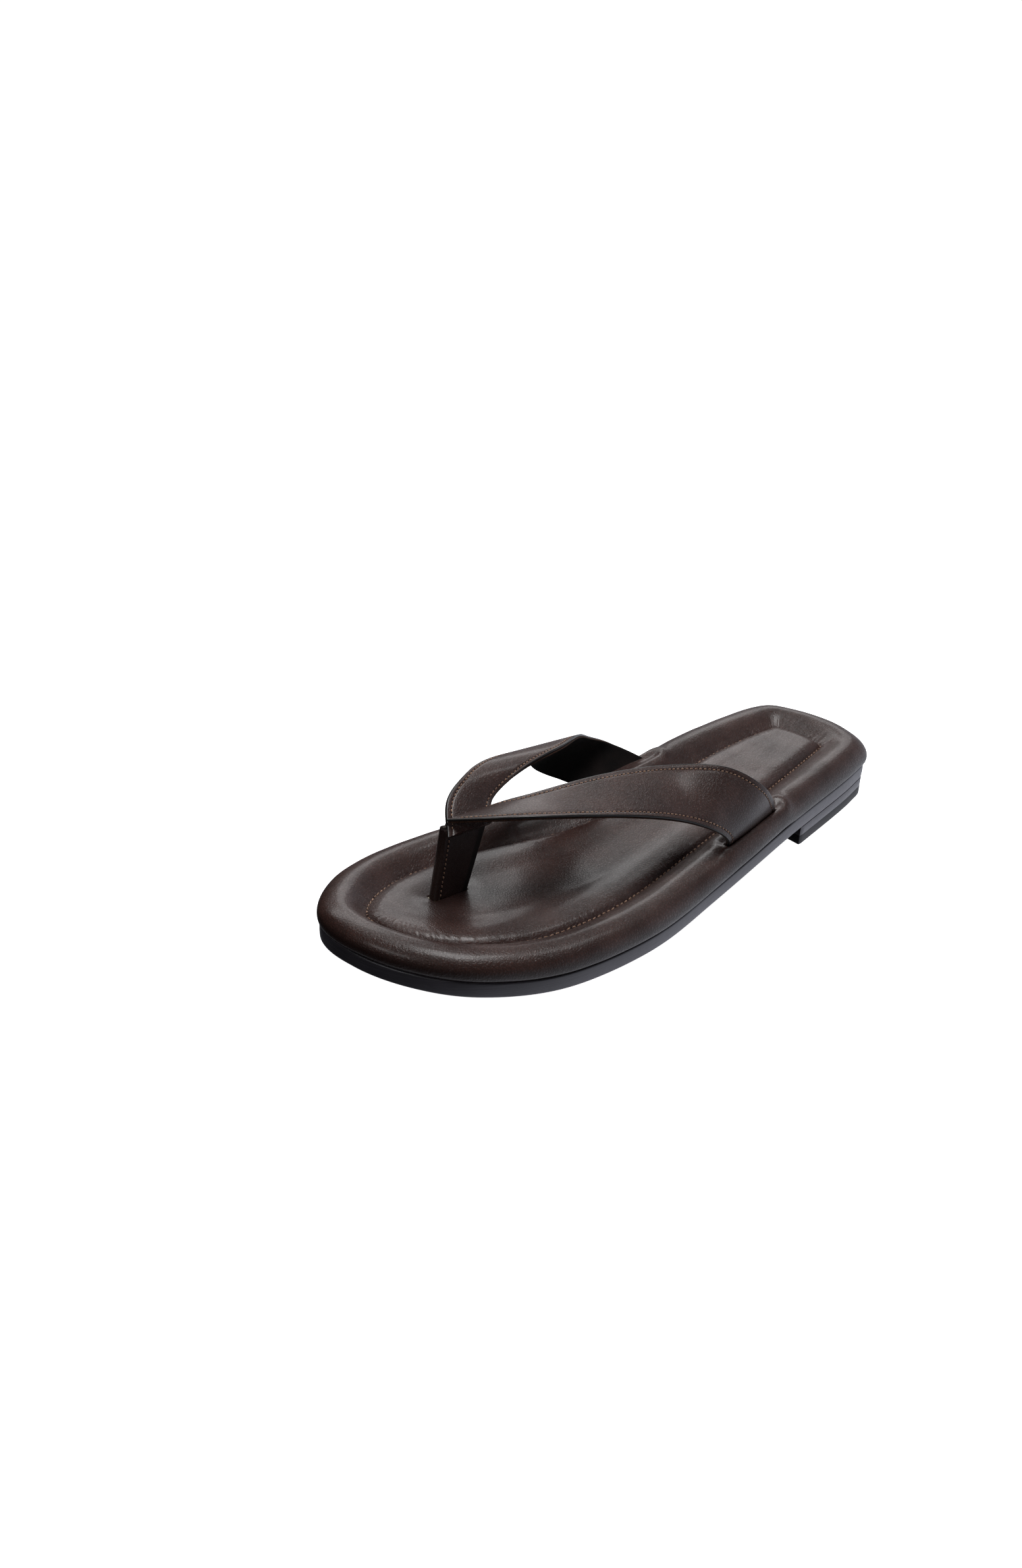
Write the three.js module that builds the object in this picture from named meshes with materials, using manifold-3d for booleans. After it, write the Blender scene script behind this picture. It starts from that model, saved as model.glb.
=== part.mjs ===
// Left-foot leather flip flop with a padded, recessed footbed and two crossing straps.
// Millimetres, +Z up. The toe points along -Y and the outer side of the foot is +X.
import * as THREE from 'three';
import * as BufferGeometryUtils from 'three/addons/utils/BufferGeometryUtils.js';
import Module from 'manifold-3d';

const wasm = await Module();
wasm.setup();

// ---- driving dimensions -------------------------------------------------------------------

// Outline of the sole seen from above, from the heel along the inner side to the toe and back.
const outlinePoints = [
  [-5.5, 143.6], [-26.9, 138.5], [-40.9, 126.4], [-42.3, 83.3], [-39.2, 33.2],
  [-44.4, -17.4], [-52.4, -61.8], [-52.1, -96.5], [-42.9, -122.7], [-23.9, -141.4],
  [-1.5, -142.2], [19.6, -132.3], [37.4, -113.5], [50.5, -81.7], [53, -41.4],
  [46.2, 3.9], [39.9, 44], [32.1, 83.4], [23, 123.5], [15.7, 138.1],
];
const sideSteps = 30; // outline points on each side, from heel to toe

// The sole stands on the heel and the ball of the foot, and curls up at the toe.
const outsoleThickness = 6.5;
const heelHeight = 8.8;
const heelBreastY = 74;
const ballY = -29.5;
const toeSpring = 6.8;
const springStartY = -71.6;
const toeEndY = -142.4;

// Heights above the top of the outsole.
const glueGap = 0.15;
const fillerThickness = 1.5;
const boardThickness = 1.1;
const boardInset = 1.6;
const fillerInset = 5.6;
const leatherThickness = 1.1;
const padSlack = 0.4; // the rim's foam stays this far below the cover
const lastingMargin = 5; // how far the cover is turned in under the board

// Puffed rim of the footbed.
const rimBulge = 0.7;
const rimBulgeHeight = 3.5;
const rimCrestInset = 8;
const rimCrestHeight = 11.2;

// Stitched groove between the rim and the recessed panel, and the panel itself.
const grooveInset = [19.9, 19, 21.5, 18, 17.3, 19.5, 19.9, 18.9]; // heel, inner side, toe, outer side
const grooveHeight = 4.6;
const heelGrooveRise = 1.4;
const panelShoulder = 2.4;
const shoulderWidth = 8;
const panelDish = 1.6;
const dishWidth = 24;

// Straps: their two long edges from the toe post to the slit in the rim.
const strapUpperThickness = 1.3;
const strapLiningThickness = 0.9;
const strapGap = 0.1;
const tailThinning = 0.5; // the tails are skived to this share of the thickness
const lateralStrap = {
  side: 1,
  front: [[-13, -89.1, 46], [5, -75.6, 50.5], [18, -56.6, 51], [30, -27.1, 46.5],
    [36, -6.1, 39.9], [40.4, 7.5, 33], [40.2, 15.8, 26], [35.8, 20, 17.5]],
  rear: [[-12.5, -67.1, 45.3], [-8.5, -62.6, 48], [-4, -56.1, 50.5], [5.5, -25.6, 54],
    [14.5, 4.4, 53], [27.5, 25.9, 51], [36.6, 40.4, 41], [31.6, 56.4, 20.5]],
};
const medialStrap = {
  side: -1,
  front: [[-10, -91.6, 40.8], [-21.5, -82.6, 49.8], [-28.5, -65.6, 54.3], [-34.5, -43.1, 51],
    [-40.5, -26.1, 43], [-45, -13.6, 31], [-42.5, 1.4, 21.8], [-33.6, 12, 17.5]],
  rear: [[-9.5, -69.6, 40.3], [-17.5, -62.6, 44.8], [-19.5, -44.6, 51.8], [-22, -20.6, 53.7],
    [-31.5, -1.6, 49.2], [-39, 12.9, 41], [-41.5, 29.4, 32], [-33.4, 47.4, 19.5]],
};
// A strap's tail below its slit: distance inwards, and height above the outsole.
const tailBend = [[0, 4.6], [1.2, 1.9], [4.5, 0.9], [12, 0.85], [22, 0.85]];
const slitClearance = 0.5;
const strapSteps = 38;

// Toe post: a folded strip of leather round a webbing core.
const post = {
  x: -13.4, thickness: 4.4, wall: 1.3, coreThickness: 1.2,
  foot: { front: -96.5, rear: -80.4 }, top: { front: -92.6, rear: -69.4, z: 44 },
};
const anchorTab = 13; // length of the core's foot that lies flat under the board

const threadRadius = 0.35;
const threadLift = 0.25;
const stitchInset = 2.4;
const threadStart = 0.07; // share of a strap where its stitching starts, and how far before the slit it stops
const threadStop = 0.1;

// ---- finishes -----------------------------------------------------------------------------

const finish = (color, roughness) => new THREE.MeshStandardMaterial({ color, roughness, metalness: 0 });
const grainLeather = () => finish(0x3a2a26, 0.48);
const liningLeather = () => finish(0x17110f, 0.9);
const thread = () => finish(0x4a352b, 0.8);
const foam = () => finish(0xc9bda6, 0.95);

// ---- the sole's outline and heights ---------------------------------------------------------

const smooth = (t) => {
  const c = THREE.MathUtils.clamp(t, 0, 1);
  return c * c * (3 - 2 * c);
};

// Underside of the outsole above the ground.
function soleUnderside(y) {
  const waist = heelHeight * (1 - smooth((heelBreastY - y) / (heelBreastY - ballY)));
  const curl = THREE.MathUtils.clamp((springStartY - y) / (springStartY - toeEndY), 0, 1);
  return waist + toeSpring * curl * curl;
}

const outsoleTop = (y) => soleUnderside(y) + outsoleThickness;

// Ring of outline points, heel end first, then the inner side, the toe end and the outer side,
// each with its inward normal. Point i of the inner side faces point count - i of the outer side.
function makeOutline() {
  const knots = outlinePoints.map(([x, y]) => new THREE.Vector3(x, y, 0));
  const curve = new THREE.CatmullRomCurve3(knots, true, 'catmullrom', 0.5);
  const fine = curve.getSpacedPoints(1200).slice(0, -1);
  const heel = fine.reduce((best, p, i) => (p.y > fine[best].y ? i : best), 0);
  const toe = fine.reduce((best, p, i) => (p.y < fine[best].y ? i : best), 0);
  const total = fine.length;
  const between = (from, to, steps) => {
    const span = (to - from + total) % total;
    return Array.from({ length: steps }, (_, k) => (from + Math.round((span * k) / steps)) % total);
  };
  const indices = [...between(heel, toe, sideSteps), ...between(toe, heel, sideSteps)];
  return indices.map((i) => {
    const tangent = fine[(i + 1) % total].clone().sub(fine[(i + total - 1) % total]).normalize();
    return { point: fine[i].clone(), inward: new THREE.Vector3(-tangent.y, tangent.x, 0) };
  });
}

const outline = makeOutline();
const count = outline.length;

// Inset of the stitched groove at point i, eased between the stations.
function grooveInsetAt(i) {
  const s = (i / count) * grooveInset.length;
  const a = Math.floor(s);
  const next = grooveInset[(a + 1) % grooveInset.length];
  return THREE.MathUtils.lerp(grooveInset[a % grooveInset.length], next, smooth(s - a));
}

const grooveHeightAt = (y) => grooveHeight + heelGrooveRise * smooth((y - 50) / 60);

// A ring at a given inset from the edge, with its height above the top of the outsole.
function insetRing(inset, height) {
  return outline.map(({ point, inward }) => {
    const p = point.clone().addScaledVector(inward, inset);
    p.z = outsoleTop(p.y) + height;
    return p;
  });
}

const grooveLine = outline.map(({ point, inward }, i) =>
  point.clone().addScaledVector(inward, grooveInsetAt(i)));
const spine = grooveLine.map((p, i) => p.clone().add(grooveLine[(count - i) % count]).multiplyScalar(0.5));

// A ring of the panel: 0 at the groove, 1 on the middle line of the foot.
function panelRing(share, lift) {
  return grooveLine.map((p, i) => {
    const q = p.clone().lerp(spine[i], share);
    const depth = q.distanceTo(p);
    const crown = panelShoulder * smooth(depth / shoulderWidth);
    const dish = panelDish * smooth((depth - shoulderWidth) / dishWidth);
    q.z = outsoleTop(q.y) + grooveHeightAt(q.y) + crown - dish + lift;
    return q;
  });
}

// A flat ring inside the groove at one height above the outsole, for the layers under the cover.
function layerRing(share, height) {
  return grooveLine.map((p, i) => {
    const q = p.clone().lerp(spine[i], share);
    q.z = outsoleTop(q.y) + height;
    return q;
  });
}

// A ring on the rim's round outer wall; angle 0 is the bulge and 90 degrees the crest.
function wallRing(degrees, shrink) {
  const angle = THREE.MathUtils.degToRad(degrees);
  const inset = rimCrestInset - (rimCrestInset + rimBulge - shrink) * Math.cos(angle);
  const height = rimBulgeHeight + (rimCrestHeight - rimBulgeHeight - shrink) * Math.sin(angle);
  return insetRing(inset, height);
}

// A ring on the slope from the crest, share 0, down to the groove, share 1.
function slopeRing(share, lift) {
  return outline.map(({ point, inward }, i) => {
    const inset = THREE.MathUtils.lerp(rimCrestInset, grooveInsetAt(i), share);
    const p = point.clone().addScaledVector(inward, inset);
    const groove = grooveHeightAt(p.y);
    const ease = (1 + Math.cos(Math.PI * share)) / 2;
    p.z = outsoleTop(p.y) + groove + (rimCrestHeight - groove) * ease + lift;
    return p;
  });
}

// ---- mesh helpers ---------------------------------------------------------------------------

// Welds equal points and drops the triangles that collapse.
function weld(geometry) {
  geometry.deleteAttribute('normal');
  geometry.deleteAttribute('uv');
  const merged = BufferGeometryUtils.mergeVertices(geometry, 1e-4);
  const kept = [];
  const index = merged.index.array;
  for (let i = 0; i < index.length; i += 3) {
    const [a, b, c] = [index[i], index[i + 1], index[i + 2]];
    if (a !== b && b !== c && a !== c) kept.push(a, b, c);
  }
  merged.setIndex(kept);
  return merged;
}

// Skin over a list of rings. When looped, the last ring joins the first.
function ringSolid(rings, looped = false) {
  const positions = [];
  const last = looped ? rings.length : rings.length - 1;
  for (let r = 0; r < last; r += 1) {
    const lower = rings[r];
    const upper = rings[(r + 1) % rings.length];
    for (let i = 0; i < lower.length; i += 1) {
      const j = (i + 1) % lower.length;
      const corners = [lower[i], upper[j], lower[j], lower[i], upper[i], upper[j]];
      for (const p of corners) positions.push(p.x, p.y, p.z);
    }
  }
  const geometry = new THREE.BufferGeometry();
  geometry.setAttribute('position', new THREE.Float32BufferAttribute(positions, 3));
  return weld(geometry);
}

// Skin over a row of equal sections, with the given faces at both ends. From side turnFrom on the
// squares are split the other way, so that the two faces of a thin layer are split alike.
function sectionSolid(sections, capFaces, turnFrom = Infinity) {
  const positions = [];
  const push = (...points) => points.forEach((p) => positions.push(p.x, p.y, p.z));
  const size = sections[0].length;
  for (let s = 0; s + 1 < sections.length; s += 1) {
    for (let i = 0; i < size; i += 1) {
      const j = (i + 1) % size;
      const [here, there] = [sections[s], sections[s + 1]];
      if (i < turnFrom) push(here[i], here[j], there[j], here[i], there[j], there[i]);
      else push(here[i], here[j], there[i], here[j], there[j], there[i]);
    }
  }
  const end = sections[sections.length - 1];
  for (const [a, b, c] of capFaces) {
    push(sections[0][a], sections[0][c], sections[0][b]);
    push(end[a], end[b], end[c]);
  }
  const geometry = new THREE.BufferGeometry();
  geometry.setAttribute('position', new THREE.Float32BufferAttribute(positions, 3));
  return weld(geometry);
}

function signedVolume(geometry) {
  const p = geometry.attributes.position;
  const corner = (i) => new THREE.Vector3().fromBufferAttribute(p, geometry.index.array[i]);
  let volume = 0;
  for (let i = 0; i < geometry.index.count; i += 3) {
    volume += corner(i).dot(corner(i + 1).cross(corner(i + 2))) / 6;
  }
  return volume;
}

// Turns a skin whose faces point inwards.
function faceOut(geometry) {
  if (signedVolume(geometry) > 0) return geometry;
  const index = geometry.index.array;
  for (let i = 0; i < index.length; i += 3) [index[i], index[i + 1]] = [index[i + 1], index[i]];
  return geometry;
}

function toManifold(geometry) {
  const vertProperties = new Float32Array(geometry.attributes.position.array);
  const triVerts = new Uint32Array(geometry.index.array);
  return new wasm.Manifold(new wasm.Mesh({ numProp: 3, vertProperties, triVerts }));
}

// Cuts the tools out of a shape and keeps its largest piece.
function cut(geometry, tools) {
  const solid = tools.reduce((rest, tool) => rest.subtract(toManifold(tool)), toManifold(geometry));
  const pieces = solid.decompose().sort((a, b) => b.volume() - a.volume());
  const mesh = pieces[0].getMesh();
  const result = new THREE.BufferGeometry();
  result.setAttribute('position', new THREE.Float32BufferAttribute(mesh.vertProperties, 3));
  result.setIndex(Array.from(mesh.triVerts));
  return result;
}

// ---- straps ---------------------------------------------------------------------------------

const vectors = (list) => list.map(([x, y, z]) => new THREE.Vector3(x, y, z));

// A strap's edge carried on through the rim and turned in under the board as a flat tail.
function withTail(edge, side) {
  const points = vectors(edge);
  const slit = points[points.length - 1];
  const tail = tailBend.map(([inward, height]) => {
    const p = slit.clone();
    p.x -= side * inward;
    p.z = outsoleTop(p.y) + height;
    return p;
  });
  return [...points, ...tail];
}

// The two edge curves of a strap and the share of their length where the tail starts.
function strapEdges(strap) {
  const curves = ['front', 'rear'].map((name) =>
    new THREE.CatmullRomCurve3(withTail(strap[name], strap.side), false, 'centripetal'));
  const spans = strap.front.length - 1;
  return { front: curves[0], rear: curves[1], slitAt: spans / (spans + tailBend.length) };
}

// Frame across a strap at t: its front and rear edge points and the outward normal.
function strapFrame(strap, edges, t) {
  const front = edges.front.getPoint(t);
  const rear = edges.rear.getPoint(t);
  const along = edges.front.getTangent(t).add(edges.rear.getTangent(t));
  const across = front.clone().sub(rear);
  const normal = across.clone().cross(along).multiplyScalar(strap.side).normalize();
  return { front, rear, across: across.normalize(), normal };
}

// A layer of a strap between two distances from its middle surface.
function strapLayer(strap, { outer, inner, grow = 0, from = 0, to = 1 }) {
  const edges = strapEdges(strap);
  const columns = 3;
  const sections = [];
  for (let s = 0; s <= strapSteps; s += 1) {
    const t = THREE.MathUtils.lerp(from, to, s / strapSteps);
    const { front, rear, across, normal } = strapFrame(strap, edges, t);
    const thin = THREE.MathUtils.lerp(1, tailThinning, smooth((t - edges.slitAt + 0.06) / 0.12));
    const spare = grow > 0 ? slitClearance : 0;
    const a = front.clone().addScaledVector(across, grow);
    const b = rear.clone().addScaledVector(across, -grow);
    const buried = smooth((t - edges.slitAt) / 0.08);
    const row = Array.from({ length: columns + 1 }, (_, k) => {
      const p = a.clone().lerp(b, k / columns);
      p.z += buried * (outsoleTop(p.y) - THREE.MathUtils.lerp(outsoleTop(a.y), outsoleTop(b.y), k / columns));
      return p;
    });
    const top = row.map((p) => p.clone().addScaledVector(normal, outer * thin + spare));
    const under = row.map((p) => p.clone().addScaledVector(normal, inner * thin - spare)).reverse();
    sections.push([...top, ...under]);
  }
  const size = 2 * (columns + 1);
  const caps = [];
  for (let k = 0; k < columns; k += 1) caps.push([k, k + 1, size - 2 - k], [k, size - 2 - k, size - 1 - k]);
  return faceOut(sectionSolid(sections, caps, columns + 1));
}

const upperSpan = { outer: strapGap / 2 + strapUpperThickness, inner: strapGap / 2 };
const liningSpan = { outer: -strapGap / 2, inner: -strapGap / 2 - strapLiningThickness };
const wholeSpan = { outer: upperSpan.outer, inner: liningSpan.inner };

// The space that a strap needs where it goes through the footbed.
function slitTool(strap) {
  return strapLayer(strap, { ...wholeSpan, grow: 0.6, from: 0.42, to: 1 });
}

// ---- toe post -------------------------------------------------------------------------------

const postFootZ = () => outsoleTop(post.foot.front) + glueGap * 2 + fillerThickness;

// Front or rear edge of the post at a height, leaning back and flaring towards the top.
function postEdge(name, z) {
  const share = (z - postFootZ()) / (post.top.z - postFootZ());
  return THREE.MathUtils.lerp(post.foot[name], post.top[name], share);
}

// Section of the folded strip: rounded fold at the front, open at the rear.
function postSection(z) {
  const half = post.thickness / 2;
  const slot = half - post.wall;
  const front = postEdge('front', z);
  const rear = postEdge('rear', z);
  const points = [[-half, rear]];
  for (let k = 0; k <= 6; k += 1) {
    const angle = (Math.PI * k) / 6;
    points.push([-half * Math.cos(angle), front + half - half * Math.sin(angle)]);
  }
  const inside = front + post.wall;
  points.push([half, rear], [slot, rear], [slot, inside], [-slot, inside], [-slot, rear]);
  return points.map(([x, y]) => new THREE.Vector3(post.x + x, y, z));
}

function postLeather() {
  const steps = 8;
  const sections = Array.from({ length: steps + 1 }, (_, k) =>
    postSection(THREE.MathUtils.lerp(postFootZ(), post.top.z, k / steps)));
  const flat = sections[0].map((p) => new THREE.Vector2(p.x, p.y));
  const caps = THREE.ShapeUtils.triangulateShape(flat, []);
  return faceOut(sectionSolid(sections, caps));
}

// Webbing strip inside the post, turned flat under the board.
function postCore() {
  const half = post.coreThickness / 2;
  const place = (name) => {
    const low = outsoleTop(post.foot[name]) + glueGap;
    const profile = [
      [-half, low], [anchorTab, low], [anchorTab, low + post.coreThickness], [half, low + post.coreThickness],
      [half, post.top.z], [-half, post.top.z],
    ];
    const inset = name === 'front' ? post.wall + 0.3 : -0.8;
    return profile.map(([x, z]) => new THREE.Vector3(post.x + x, postEdge(name, z) + inset, z));
  };
  const flat = place('front').map((p) => new THREE.Vector2(p.x, p.z));
  const caps = THREE.ShapeUtils.triangulateShape(flat, []);
  return faceOut(sectionSolid([place('front'), place('rear')], caps));
}

// Openings for the post in the cover, the pad and the board.
function postTool(spare) {
  const half = post.thickness / 2 + spare;
  const profile = (z) => [
    [-half, postEdge('front', z) - spare], [half, postEdge('front', z) - spare],
    [half, postEdge('rear', z) + spare], [-half, postEdge('rear', z) + spare],
  ].map(([x, y]) => new THREE.Vector3(post.x + x, y, z));
  const low = outsoleTop(post.foot.rear) + glueGap;
  return faceOut(sectionSolid([profile(low), profile(low + 18)], [[0, 1, 2], [0, 2, 3]]));
}

// ---- footbed and sole -----------------------------------------------------------------------

const boardBottom = glueGap * 2 + fillerThickness;
const boardTop = boardBottom + boardThickness;
const wallAngles = [-14, 5, 25, 45, 66, 90];
const slopeShares = [0.25, 0.5, 0.75, 1];
const panelShares = [0.08, 0.18, 0.34, 0.65, 1];

function footbedCover() {
  const skin = leatherThickness;
  const outer = [
    insetRing(lastingMargin, glueGap), insetRing(0.1, glueGap),
    ...wallAngles.map((angle) => wallRing(angle, 0)),
    ...slopeShares.map((share) => slopeRing(share, 0)),
    ...panelShares.map((share) => panelRing(share, 0)),
  ];
  const inner = [
    ...panelShares.toReversed().map((share) => panelRing(share, -skin)),
    ...slopeShares.toReversed().map((share) => slopeRing(share, -skin)),
    ...wallAngles.slice(1).toReversed().map((angle) => wallRing(angle, skin)),
    insetRing(0.1 + skin, glueGap + skin), insetRing(lastingMargin, glueGap + skin),
  ];
  const shell = faceOut(ringSolid([...outer, ...inner], true));
  return cut(shell, [slitTool(lateralStrap), slitTool(medialStrap), postTool(0.35)]);
}

function rimPadding() {
  const skin = leatherThickness + glueGap + padSlack;
  const low = boardTop + glueGap;
  const rings = [
    insetRing(boardInset + 0.4, low),
    ...[12, 32, 50, 70, 90].map((angle) => wallRing(angle, skin)),
    ...[0.3, 0.6].map((share) => slopeRing(share, -skin)),
    slopeRing(0.8, -skin + padSlack - 0.1),
    outline.map(({ point, inward }, i) => {
      const p = point.clone().addScaledVector(inward, grooveInsetAt(i) - 2.6);
      p.z = outsoleTop(p.y) + low;
      return p;
    }),
  ];
  return cut(faceOut(ringSolid(rings, true)), [slitTool(lateralStrap), slitTool(medialStrap)]);
}

function footbedPad() {
  const skin = leatherThickness + glueGap;
  const low = boardTop + glueGap;
  const shares = panelShares.slice(1);
  const top = shares.toReversed().map((share) => panelRing(share, -skin));
  const rings = [...top, layerRing(shares[0], low), layerRing(1, low)];
  return cut(faceOut(ringSolid(rings)), [postTool(0.35)]);
}

function plate(inset, low, high, tools) {
  const rings = [
    layerRing(1, low), layerRing(0, low), insetRing(inset, low),
    insetRing(inset, high), layerRing(0, high), layerRing(1, high),
  ];
  const solid = faceOut(ringSolid(rings));
  return tools.length ? cut(solid, tools) : solid;
}

const outsole = () => plate(0, -outsoleThickness, 0, []);

const insoleBoard = () => plate(boardInset, boardBottom, boardTop,
  [slitTool(lateralStrap), slitTool(medialStrap), postTool(0.35)]);

// The filler is pocketed where the strap tails and the core's tab lie.
function bottomFiller() {
  const tab = new THREE.BoxGeometry(anchorTab + 2.4, 17, fillerThickness * 3);
  tab.translate(post.x + anchorTab / 2 - 0.2, (post.foot.front + post.foot.rear) / 2, outsoleTop(-87) + 1);
  return plate(fillerInset, glueGap, glueGap + fillerThickness,
    [slitTool(lateralStrap), slitTool(medialStrap), weld(tab)]);
}

// One layer of the heel, with a straight front face.
function heelLayer(low, high) {
  const inset = 0.15;
  const edge = outline.map(({ point, inward }) => point.clone().addScaledVector(inward, inset));
  const back = edge.filter((p) => p.y > heelBreastY + 1);
  const sideX = (wanted) => {
    const half = wanted < 0 ? edge.slice(0, sideSteps) : edge.slice(sideSteps);
    const i = half.findIndex((p, k) => k > 0 && (p.y - heelBreastY) * (half[k - 1].y - heelBreastY) <= 0);
    const share = (heelBreastY - half[i - 1].y) / (half[i].y - half[i - 1].y);
    return THREE.MathUtils.lerp(half[i - 1].x, half[i].x, share);
  };
  const inner = back.filter((p) => edge.indexOf(p) < sideSteps);
  const outer = back.filter((p) => edge.indexOf(p) >= sideSteps);
  const points = [
    ...inner.map((p) => [p.x, p.y]), [sideX(-1), heelBreastY], [sideX(1), heelBreastY],
    ...outer.map((p) => [p.x, p.y]),
  ].map(([x, y]) => new THREE.Vector2(x, y));
  const options = { depth: high - low, bevelEnabled: false };
  const geometry = new THREE.ExtrudeGeometry(new THREE.Shape(points), options);
  geometry.translate(0, 0, low);
  return weld(geometry);
}

// ---- threads --------------------------------------------------------------------------------

function threadAlong(points, steps) {
  const circle = new THREE.Shape();
  circle.absarc(0, 0, threadRadius, 0, Math.PI * 2);
  const path = new THREE.CatmullRomCurve3(points, false, 'centripetal');
  const options = { steps, curveSegments: 3, bevelEnabled: false, extrudePath: path };
  return faceOut(weld(new THREE.ExtrudeGeometry(circle, options)));
}

// Run of stitching along one edge of a strap, from the post to just above the rim.
function strapThread(strap, edge) {
  const edges = strapEdges(strap);
  const points = [];
  for (let k = 0; k <= 16; k += 1) {
    const t = THREE.MathUtils.lerp(threadStart, edges.slitAt - threadStop, k / 16);
    const { front, rear, across, normal } = strapFrame(strap, edges, t);
    const start = edge === 'front' ? front : rear;
    start.addScaledVector(across, edge === 'front' ? -stitchInset : stitchInset);
    points.push(start.addScaledVector(normal, upperSpan.outer + threadLift + threadRadius));
  }
  return threadAlong(points, 26);
}

function rimThread() {
  const line = panelRing(0.03, threadLift + threadRadius + 0.6);
  return threadAlong(line.slice(0, -1), 64);
}

function postThread(side) {
  const x = post.x + side * (post.thickness / 2 + threadLift + threadRadius);
  const points = [16.5, 24, 32, 39].map((z) => new THREE.Vector3(x, postEdge('front', z) + 2.6, z));
  return threadAlong(points, 8);
}

// ---- assembly -------------------------------------------------------------------------------

const flipFlop = new THREE.Group();

function add(name, geometry, material) {
  const mesh = new THREE.Mesh(geometry, material);
  mesh.name = name;
  flipFlop.add(mesh);
}

const liftSplit = heelHeight / 2;
add('top_lift', heelLayer(0, liftSplit - glueGap), finish(0x1d1a1b, 0.7));
add('heel_lift', heelLayer(liftSplit, heelHeight - glueGap * 2), finish(0x2c2624, 0.5));
add('outsole', outsole(), finish(0x2c2624, 0.5));
add('bottom_filler', bottomFiller(), finish(0x9a7b55, 0.95));
add('insole_board', insoleBoard(), finish(0xb59a74, 0.9));
add('footbed_pad', footbedPad(), foam());
add('rim_padding', rimPadding(), foam());
add('footbed_cover', footbedCover(), grainLeather());

add('medial_strap_upper', strapLayer(medialStrap, upperSpan), grainLeather());
add('medial_strap_lining', strapLayer(medialStrap, liningSpan), liningLeather());
add('lateral_strap_upper', strapLayer(lateralStrap, upperSpan), grainLeather());
add('lateral_strap_lining', strapLayer(lateralStrap, liningSpan), liningLeather());

const postEnd = { ...wholeSpan, grow: 0.3, to: 0.4 };
const strapSpace = [medialStrap, lateralStrap].map((strap) => strapLayer(strap, postEnd));
add('toe_post_leather', cut(postLeather(), strapSpace), grainLeather());
add('toe_post_core', cut(postCore(), strapSpace), finish(0x3b342f, 0.9));

add('rim_thread', rimThread(), thread());
for (const [name, strap] of [['medial', medialStrap], ['lateral', lateralStrap]]) {
  for (const edge of ['front', 'rear']) {
    add(`${name}_strap_${edge}_thread`, strapThread(strap, edge), thread());
  }
}
add('toe_post_medial_thread', postThread(-1), thread());
add('toe_post_lateral_thread', postThread(1), thread());

export default flipFlop;
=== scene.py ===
import math

import bmesh
import bpy
from mathutils import Matrix, Vector, noise
from mathutils.bvhtree import BVHTree
from mathutils.geometry import interpolate_bezier
from mathutils.kdtree import KDTree


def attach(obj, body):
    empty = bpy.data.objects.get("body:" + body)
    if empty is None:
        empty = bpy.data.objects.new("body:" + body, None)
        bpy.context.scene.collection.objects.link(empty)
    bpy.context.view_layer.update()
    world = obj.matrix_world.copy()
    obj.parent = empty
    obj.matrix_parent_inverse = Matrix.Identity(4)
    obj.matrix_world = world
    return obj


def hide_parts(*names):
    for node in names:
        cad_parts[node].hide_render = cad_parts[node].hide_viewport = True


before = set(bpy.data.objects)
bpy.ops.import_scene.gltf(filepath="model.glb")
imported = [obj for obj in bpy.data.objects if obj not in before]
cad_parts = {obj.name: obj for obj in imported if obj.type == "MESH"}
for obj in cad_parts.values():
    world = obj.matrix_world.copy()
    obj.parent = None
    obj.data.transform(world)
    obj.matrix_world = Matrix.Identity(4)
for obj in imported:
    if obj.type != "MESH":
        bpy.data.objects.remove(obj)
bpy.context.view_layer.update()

mm = 0.001

# A left-foot leather flip flop. The toe points along -Y and the outer side of the foot is +X.
# Shapes are worked out in millimetres and scaled to metres when the mesh is made.

sole = {
    "outline": [  # seen from above: heel, inner side, toe, outer side
        (-5.5, 143.6), (-26.9, 138.5), (-40.9, 126.4), (-42.3, 83.3), (-39.2, 33.2),
        (-44.4, -17.4), (-52.4, -61.8), (-52.1, -96.5), (-42.9, -122.7), (-23.9, -141.4),
        (-1.5, -142.2), (19.6, -132.3), (37.4, -113.5), (50.5, -81.7), (53, -41.4),
        (46.2, 3.9), (39.9, 44), (32.1, 83.4), (23, 123.5), (15.7, 138.1)],
    "thickness": 6.5,
    "heelHeight": 8.8,
    "breastY": 74,
    "ballY": -29.5,
    "toeSpring": 6.8,
    "springY": -71.6,
    "toeY": -142.4,
    "around": 420,  # points round the edge
    "edgeRound": 0.7,
    "rimWidth": 12,  # inside it, the faces run towards the spine
    "layerGap": 0.15,
}

footbed = {
    "around": 680,  # points round the rim
    "bulge": 1.1,
    "bulgeHeight": 3.5,
    "crestInset": 8,
    "crestHeight": 11.2,
    "grooveInset": [19.9, 19, 21.5, 18, 17.3, 19.5, 19.9, 18.9],
    "grooveHeight": 4.6,
    "heelRise": 1.4,
    "shoulder": 2.6,
    "shoulderWidth": 6,
    "dish": 0.7,
    "dishWidth": 10.5,
    "leather": 1.0,
    "pucker": 0.4,
    "swell": 1.2,  # the most that the padding may push the cover, mm
    "weld": 0.06,
    "uneven": (0.16, 13),  # height and length of its slow waves
    "slitPuff": (1.0, 5, 3),  # height, distance from the slit, width
    "slitDip": (1.2, 2.6),  # depth, width
    "postDip": (0.9, 5.5),
    # how far the painted shade round the foot of the toe post reaches, mm
    "postShade": 15,
    "turnIn": 26,  # degrees up the rim's wall where the painted shade under the turned-in rim ends
    "evening": 12,  # coarse columns on each side that the push is averaged over
}

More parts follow.
